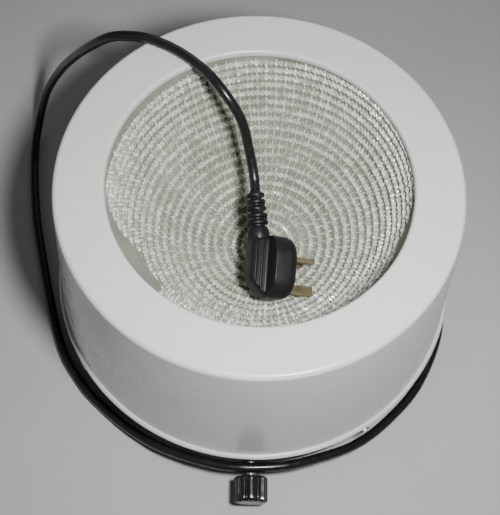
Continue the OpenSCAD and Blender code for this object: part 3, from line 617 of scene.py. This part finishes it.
def knit_base(material):
    """The ground cloth behind the yarn: a thin closed shell, slightly puckered by the rows."""
    rise = (KNIT_TOP - NEST_CENTRE[2]) / KNIT_R
    polar = np.concatenate([np.linspace(0.02, math.pi / 2, 90), [math.pi / 2 + math.asin(rise)]])
    azimuth = np.linspace(0, 2 * math.pi, 240, endpoint=False)
    p, a = np.meshgrid(polar, azimuth, indexing="ij")
    ways = np.stack([np.sin(p) * np.cos(a), np.sin(p) * np.sin(a), -np.cos(p)], -1)
    pucker = 0.18 * np.sin(p * 97) * np.sin(a * 45) + 0.25 * np.sin(a * 7 + p * 5)
    inner = on_nest(p, a, BASE_DEPTH + pucker * np.sin(p) - 1.7 * bare(ways), tilted=False)
    outer = on_nest(p, a, BASE_DEPTH + BASE_THICKNESS, tilted=False)
    rows, columns = p.shape
    points = np.concatenate([inner.reshape(-1, 3), outer[::-1].reshape(-1, 3)])
    faces = grid_faces(2 * rows, columns)
    faces.append(tuple(range(columns)))
    faces.append(tuple(range((2 * rows - 1) * columns, 2 * rows * columns)))
    return add_piece("nest_ground_cloth", points, faces, material)


def rope_rings(rows, material):
    """Each row's carrier: two strands twisted about each other, one twist a wale."""
    ring = np.linspace(0, 2 * math.pi, YARN_SIDES, endpoint=False)[None, :]
    points, faces = [], []
    for row, wales in rows:
        count = wales * ROW_STEPS_PER_TWIST
        k = np.arange(count)[:, None]
        wobble = 0.25 * np.sin(k * 2 * math.pi * 5 / count + row * 20) * math.sin(row)
        fray = 1 + 0.10 * rng.normal(0, 1, (count, 1))
        for half in (0, math.pi):
            twist = 2 * math.pi * wales * k / count + half
            strand = ROW_STRAND_R * fray
            across = ROW_ACROSS * np.cos(twist) + strand * np.cos(ring) + wobble
            depth = ROW_DEPTH + ROW_DEEP * np.sin(twist) + strand * np.sin(ring)
            placed_ring = on_nest(row + across / KNIT_R, 2 * math.pi * k / count, depth)
            first = sum(len(block) for block in points)
            points.append(placed_ring.reshape(-1, 3))
            faces.extend(grid_faces(count, YARN_SIDES, closed_rows=True, first=first))
    return add_piece("nest_row_yarn", np.concatenate(points), faces, material)


def stitches(rows, pitch, material):
    """The wales: at each wale a knot of yarn over the row, and a thinner run down to the next."""
    along = np.linspace(-STITCH_REACH, STITCH_REACH, STITCH_STATIONS)[None, :, None]
    ring = np.linspace(0, 2 * math.pi, YARN_SIDES, endpoint=False)[None, None, :]
    size = STITCH_STATIONS * YARN_SIDES
    tube = grid_faces(STITCH_STATIONS, YARN_SIDES)
    tube += [tuple(range(YARN_SIDES)), tuple(range(size - YARN_SIDES, size))]
    points, faces = [], []
    total = 0
    for row, wales in rows:
        around = (np.arange(wales) / wales * 2 * math.pi)[:, None, None]
        jitter = rng.normal(0, 1, (4, wales, 1, 1))
        knot = np.cos(along * math.pi) ** 4
        swell = STITCH_R * (1 + 0.16 * jitter[0]) * (STITCH_RUN_SHARE + STITCH_KNOT_SHARE * knot)
        lift = STITCH_RUN_DEPTH - STITCH_KNOT_RISE * (1 + 0.12 * jitter[1]) * knot
        lean = (0.35 * jitter[2] + 0.9 * along * np.sin(jitter[3])) + 0.35 * np.sin(4 * along)
        width = KNIT_R * max(math.sin(row), 0.05)
        polar = row + (along * pitch + 0.15 * jitter[3]) / KNIT_R
        azimuth = around + (lean + swell * np.cos(ring)) / width
        block = on_nest(polar, azimuth, lift - swell * np.sin(ring))
        points.append(block.reshape(-1, 3))
        for n in range(wales):
            start = total + n * size
            faces.extend(tuple(start + v for v in face) for face in tube)
        total += wales * size
    return add_piece("nest_wale_yarn", np.concatenate(points), faces, material)


def make_nest(materials, ground):
    angles = np.radians(np.linspace(ROW_FIRST, ROW_LAST, ROW_COUNT))
    pitch = (angles[0] - angles[1]) * KNIT_R
    rows = []
    for row in angles:
        share = 1 if row > math.radians(33) else 2 if row > math.radians(14) else 5
        rows.append((float(row), WALES // share))
    cloth_piece = knit_base(ground)
    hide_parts("nest_fabric")
    # The rows get a darker copy of the stitches' yarn, as painted shade
    rope_rings(rows, glass_yarn("shaded row yarn", *SHADED_ROW_YARN))
    stitches(rows, pitch, materials["glass_knit"])


# ---------- plug ----------
def rounded_loop(half_y, half_z, corner, per_corner=10):
    """Closed loop of a rectangle with round corners, in a plane of (y, z)."""
    corner = min(corner, half_y, half_z)
    loop = []
    for quarter in range(4):
        sign_y = 1 if quarter in (0, 3) else -1
        sign_z = 1 if quarter in (0, 1) else -1
        for step in range(per_corner + 1):
            turn = math.radians(90 * (quarter + step / per_corner))
            loop.append((
                sign_y * (half_y - corner) + corner * math.cos(turn),
                sign_z * (half_z - corner) + corner * math.sin(turn),
            ))
    return np.array(loop)


def rounding(radius, depth):
    """How far a rounded edge has gone in, at a depth from 0 (outermost) to its radius."""
    rest = min(max(radius - depth, 0.0), radius)
    return radius - math.sqrt(radius ** 2 - rest ** 2)


def grip_loop(x):
    """Outline in (y, z) of the ribbed finger grip at x, with its slanted lower corner."""
    back = x + PLUG_DEPTH
    slab_at = PLUG_DEPTH - PLUG_SLAB
    edge = rounding(GRIP_EDGE_R, back)
    slant = GRIP_CUT - back + math.hypot(GRIP_CUT - back, GRIP_CUT_BEND)
    slant = 0.5 * (slant - math.hypot(GRIP_CUT - slab_at, GRIP_CUT_BEND))
    high = GRIP_HALF_WIDTH - edge
    low = -GRIP_HALF_WIDTH + edge + max(slant, 0.0)
    half_z = GRIP_HALF_DEPTH - edge
    if GRIP_RIDGED[0] < back < GRIP_RIDGED[1]:
        crest = math.cos((back - GRIP_EDGE_R) * 2 * math.pi / GRIP_RIDGE_PITCH)
        half_z += GRIP_RIDGE_HEIGHT * max(0.0, crest)
    if back > slab_at - GRIP_FILLET_R:
        half_z += rounding(GRIP_FILLET_R, slab_at - back)
    loop = rounded_loop((high - low) / 2, half_z, GRIP_CORNER)
    return loop + np.array([(high + low) / 2, 0])


def slab_loop(x):
    """Outline in (y, z) of the slab behind the pin face at x."""
    inset = rounding(PLUG_NOSE_R, -x) + rounding(PLUG_SLAB_RIM_R, x + PLUG_SLAB)
    half = PLUG_HALF - inset
    return rounded_loop(half, half, PLUG_SLAB_CORNER - 0.6 * inset)


def make_plug_body(material):
    """Moulded body: grip, then slab, lofted through outlines along the pins' direction."""
    back = -PLUG_DEPTH + GRIP_EDGE_R * (1 - np.cos(np.linspace(0, math.pi / 2, 8)))
    grip = np.concatenate([back[:-1], np.linspace(-PLUG_DEPTH + GRIP_EDGE_R, -PLUG_SLAB, 48)])
    rim = -PLUG_SLAB + PLUG_SLAB_RIM_R * (1 - np.cos(np.linspace(0, math.pi / 2, 5)))
    nose = -PLUG_NOSE_R * np.cos(np.linspace(0, math.pi / 2, 14))
    loops = [(x, grip_loop(float(x))) for x in grip]
    loops += [(x, slab_loop(float(x))) for x in np.concatenate([rim, nose])]
    count = len(loops[0][1])
    points = [(x, y, z) for x, loop in loops for y, z in loop]
    faces = grid_faces(len(loops), count)
    faces.append(tuple(range(count)))
    faces.append(tuple(range((len(loops) - 1) * count, len(loops) * count)))
    body = add_piece("plug_moulding", placed(points, plug_matrix()), faces, material)
    cut_pocket(body)
    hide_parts("plug_body")
    return body


def cut_pocket(body):
    """Cuts the fuse carrier's pocket into the pin face."""
    low, high = CARRIER_POCKET
    corners = [(x, y, z) for x in (low[0], high[0]) for y in (low[1], high[1]) for z in (low[2], high[2])]
    sides = [(0, 1, 3, 2), (4, 6, 7, 5), (0, 4, 5, 1), (2, 3, 7, 6), (0, 2, 6, 4), (1, 5, 7, 3)]
    mesh = bpy.data.meshes.new("pocket")
    mesh.from_pydata((placed(corners, plug_matrix()) * MM).tolist(), [], sides)
    cutter = bpy.data.objects.new("pocket", mesh)
    bpy.context.scene.collection.objects.link(cutter)
    cut = body.modifiers.new("pocket", "BOOLEAN")
    cut.object = cutter
    cut.operation = "DIFFERENCE"
    cut.solver = "EXACT"
    shaped = body.evaluated_get(bpy.context.evaluated_depsgraph_get())
    finished = bpy.data.meshes.new_from_object(shaped)
    body.modifiers.remove(cut)
    body.data = finished
    body.data.set_sharp_from_angle(angle=SHARP_ANGLE)
    bpy.data.objects.remove(cutter)


def make_plug_boot(material):
    """Strain relief: a plain neck, then rings held by bridges that alternate side to side."""
    profile = [(0, -2.5), (8.7246, -2.5), (8.9, 0.0), (8.7246, 3.0), (7.9, 6.0)]
    neck = len(profile)
    for i in range(BOOT_RINGS):
        z = BOOT_FIRST_RING + i * BOOT_RING_PITCH
        r = BOOT_RING_R - BOOT_TAPER * i
        profile += [(r - BOOT_GROOVE, z - 1.4), (r - BOOT_GROOVE, z), (r - 0.4, z + 0.4), (r, z + 1.0),
                    (r, z + 2.6), (r - 0.4, z + 3.2)]
    profile += [(4.6, BOOT_LENGTH - 1.6), (4.2, BOOT_LENGTH), (0, BOOT_LENGTH)]

    def bridges(angles, index):
        ring, part = divmod(index + 1 - neck, 6)
        if part > 1 or not 0 < ring < BOOT_RINGS:
            return 0
        side = np.cos(2 * angles) * (1 if ring % 2 else -1)
        return BOOT_BRIDGE * smooth_step(side, 0.72, 0.86)

    points, faces = lathe(profile, 96, bridges)
    boot = add_piece("plug_strain_relief", placed(points, boot_matrix()), faces, material)
    bevelled(boot, 0.25)
    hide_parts("plug_boot")
    return boot


# ---------- knob ----------
def make_knob(material):
    """Fluted knob with a skirt, a domed edge and a recess for its cap."""
    length = KNOB_LENGTH
    bore_end = length - KNOB_BORE_DEPTH
    body_r = KNOB_R - 0.9
    profile = [
        (0, bore_end), (KNOB_BORE_R, bore_end), (KNOB_BORE_R, 0.0), (body_r - 1.4, 0.0),
        (body_r - 0.5, 0.4), (body_r, 1.2), (body_r, 3.0), (body_r, 6.0), (body_r, length - 5.0),
        (body_r, length - 2.6), (body_r - 0.3, length - 1.4), (body_r - 1.2, length - 0.4),
        (body_r - 2.3, length), (KNOB_CAP_R + 0.3, length), (KNOB_CAP_R, length - 0.3),
        (KNOB_CAP_R, length - 1.0), (0, length - 1.0),
    ]
    depth = [0, 0, 0.3, 0.7, 0.9, 1, 1, 1, 1, 1, 0.75, 0.35, 0.1, 0, 0]

    def flutes(angles, index):
        crest = np.abs(np.cos(angles * KNOB_RIBS / 2))
        return depth[index] * (0.9 * smooth_step(crest, 0.35, 0.85) - 1.1 * (1 - crest) ** 2)

    points, faces = lathe(profile, 240, flutes)
    knob = add_piece("knob_grip", placed(points, knob_matrix()), faces, material, "knob")
    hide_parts("knob_body")
    return knob


# ---------- surroundings ----------
def make_floor():
    s = Shader("studio floor", 0.85, specular=0.2)
    s.link(s.ramp(s.noise(6, 4), [(0.3, 0.46), (0.7, 0.50)]), "Base Color")
    s.bump(s.noise(300, 3), 0.05, 0.2)
    mesh = bpy.data.meshes.new("studio_floor")
    corners = [(x * FLOOR_HALF, y * FLOOR_HALF, 0) for x, y in ((-1, -1), (1, -1), (1, 1), (-1, 1))]
    mesh.from_pydata(corners, [], [(0, 1, 2, 3)])
    mesh.materials.append(s.material)
    floor = bpy.data.objects.new("studio_floor", mesh)
    bpy.context.scene.collection.objects.link(floor)


def area_light(name, place, target, size, power):
    lamp = bpy.data.lights.new(name, "AREA")
    lamp.shape = "DISK"
    lamp.size = size
    lamp.energy = power
    light = bpy.data.objects.new(name, lamp)
    light.location = place
    light.rotation_mode = "QUATERNION"
    light.rotation_quaternion = (Vector(target) - Vector(place)).to_track_quat("-Z", "Y")
    bpy.context.scene.collection.objects.link(light)


def make_lights():
    """A lamp beside the camera at its right, weak fills, and a pale surround."""
    for lamp in LAMPS:
        area_light(*lamp)
    world = bpy.data.worlds.new("surround")
    world.use_nodes = True
    background = world.node_tree.nodes["Background"]
    background.inputs["Color"].default_value = SURROUND_COLOUR
    background.inputs["Strength"].default_value = SURROUND_STRENGTH
    bpy.context.scene.world = world


# ---------- the scene ----------
make_camera()
materials = make_materials()
dress_frame(materials)
lead, lead_path, lead_length = make_cord(materials)
plug_body = make_plug_body(materials["plug_pvc"])
plug_boot = make_plug_boot(materials["plug_pvc"])
# The ground cloth's own olive grey, set darker as painted shade in the gaps between the yarns
make_nest(materials, cloth("ground cloth", (0.33, 0.34, 0.27), (0.22, 0.23, 0.17), 900))
make_knob(materials["knob_plastic"])
make_floor()
make_lights()
